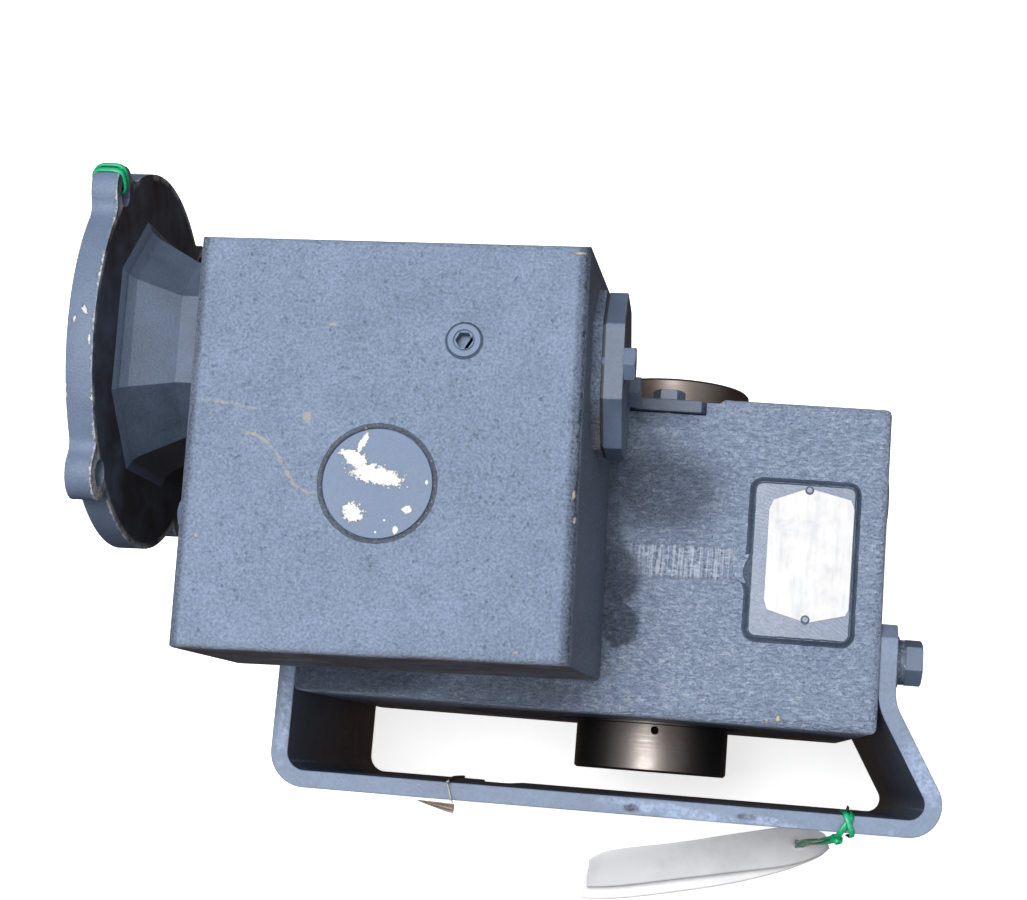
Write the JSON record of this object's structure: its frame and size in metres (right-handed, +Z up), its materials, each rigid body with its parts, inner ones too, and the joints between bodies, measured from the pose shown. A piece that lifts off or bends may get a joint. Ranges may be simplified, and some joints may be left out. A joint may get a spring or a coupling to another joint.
{
  "type": "worm gearbox",
  "caption": "Double-reduction right-angle worm gearbox with a round motor flange, a hollow output shaft, an octagonal end cover and a bent-plate torque bracket.",
  "frame": {"origin": "centre of the hollow output shaft, on its axis at mid length", "axes": "+Y along the output shaft towards its free end, +X along the main housing away from the motor side, +Z up, from the housing's back to the primary housing's cap"},
  "size_m": [0.4797, 0.4049, 0.4667],
  "materials": {
    "painted_casting": "satin blue-grey paint over a sand-cast skin",
    "painted_plate": "satin blue-grey paint over bent steel plate",
    "painted_fastener": "overpainted fastener",
    "plated_washer": "dull plated and part painted",
    "machined_steel": "turned and ground",
    "bearing_steel": "polished",
    "black_fastener": "black oxide",
    "cast_hub": "as cast",
    "bronze": "machined bronze",
    "seal_rubber": "matte",
    "gasket_sheet": "dark sheet",
    "nameplate_metal": "faded blank plate",
    "rivet_metal": "satin",
    "tag_paper": "coated paper",
    "green_tie": "thin cord",
    "clear_tie": "thin cord"
  },
  "bodies": {
    "housing": {"primary_housing": "painted_casting", "secondary_housing": "painted_casting", "interstage_gasket": "gasket_sheet", "interstage_screws": "black_fastener", "interstage_seal": "seal_rubber", "motor_adapter": "painted_casting", "adapter_gasket": "gasket_sheet", "adapter_screws": "black_fastener", "input_oil_seal": "seal_rubber", "input_bearing_outer_rings": "bearing_steel", "input_end_cover": "painted_casting", "input_cover_gasket": "gasket_sheet", "input_cover_bolts": "painted_fastener", "sealing_cap": "painted_casting", "lower_sealing_cap": "painted_casting", "oil_filler_plug": "painted_fastener", "side_level_plug": "painted_fastener", "intermediate_bearing_outer_rings": "bearing_steel", "output_cover_upper": "painted_casting", "output_cover_lower": "painted_casting", "output_cover_gaskets": "gasket_sheet", "output_cover_bolts": "painted_fastener", "output_cover_lower_screws": "painted_fastener", "output_oil_seals": "seal_rubber", "output_bearing_outer_rings": "bearing_steel", "drain_plugs": "painted_fastener", "nameplate": "nameplate_metal", "nameplate_rivets": "rivet_metal", "torque_bracket": "painted_plate", "bracket_bolts": "painted_fastener", "bracket_flat_washers": "plated_washer", "bracket_spring_washers": "plated_washer", "paper_tag_front": "tag_paper", "paper_tag_back": "tag_paper", "tag_tie": "green_tie", "flange_tie": "green_tie", "clear_tie": "clear_tie"},
    "input_shaft": {"input_worm_shaft": "machined_steel", "input_bearing_inner_rings": "bearing_steel", "input_bearing_balls": "bearing_steel"},
    "intermediate_shaft": {"intermediate_worm_shaft": "machined_steel", "intermediate_bearing_inner_rings": "bearing_steel", "intermediate_bearing_balls": "bearing_steel", "primary_wheel_hub": "cast_hub", "primary_wheel_rim": "bronze", "primary_wheel_key": "black_fastener", "intermediate_spacer": "black_fastener"},
    "output_shaft": {"output_hollow_shaft": "machined_steel", "output_bearing_inner_rings": "bearing_steel", "output_bearing_balls": "bearing_steel", "output_wheel_hub": "cast_hub", "output_wheel_rim": "bronze", "output_rim_screws": "black_fastener", "output_wheel_key": "black_fastener", "output_spacers": "black_fastener"}
  },
  "joints": [
    {"name": "output_spin", "type": "hinge", "parent": "housing", "child": "output_shaft", "pos_m": [0, 0, 0], "axis": [0, 1, 0], "continuous": true},
    {"name": "intermediate_spin", "type": "hinge", "parent": "housing", "child": "intermediate_shaft", "pos_m": [-0.142, 0.0102, 0], "axis": [0, 0, 1], "continuous": true},
    {"name": "input_spin", "type": "hinge", "parent": "housing", "child": "input_shaft", "pos_m": [-0.14409, 0.08517, 0.2147], "axis": [0.9996, 0.0279, 0], "continuous": true}
  ],
  "couplings": [
    {"joint": "intermediate_spin", "follows": "output_spin", "ratio": -12},
    {"joint": "input_spin", "follows": "output_spin", "ratio": -96}
  ]
}
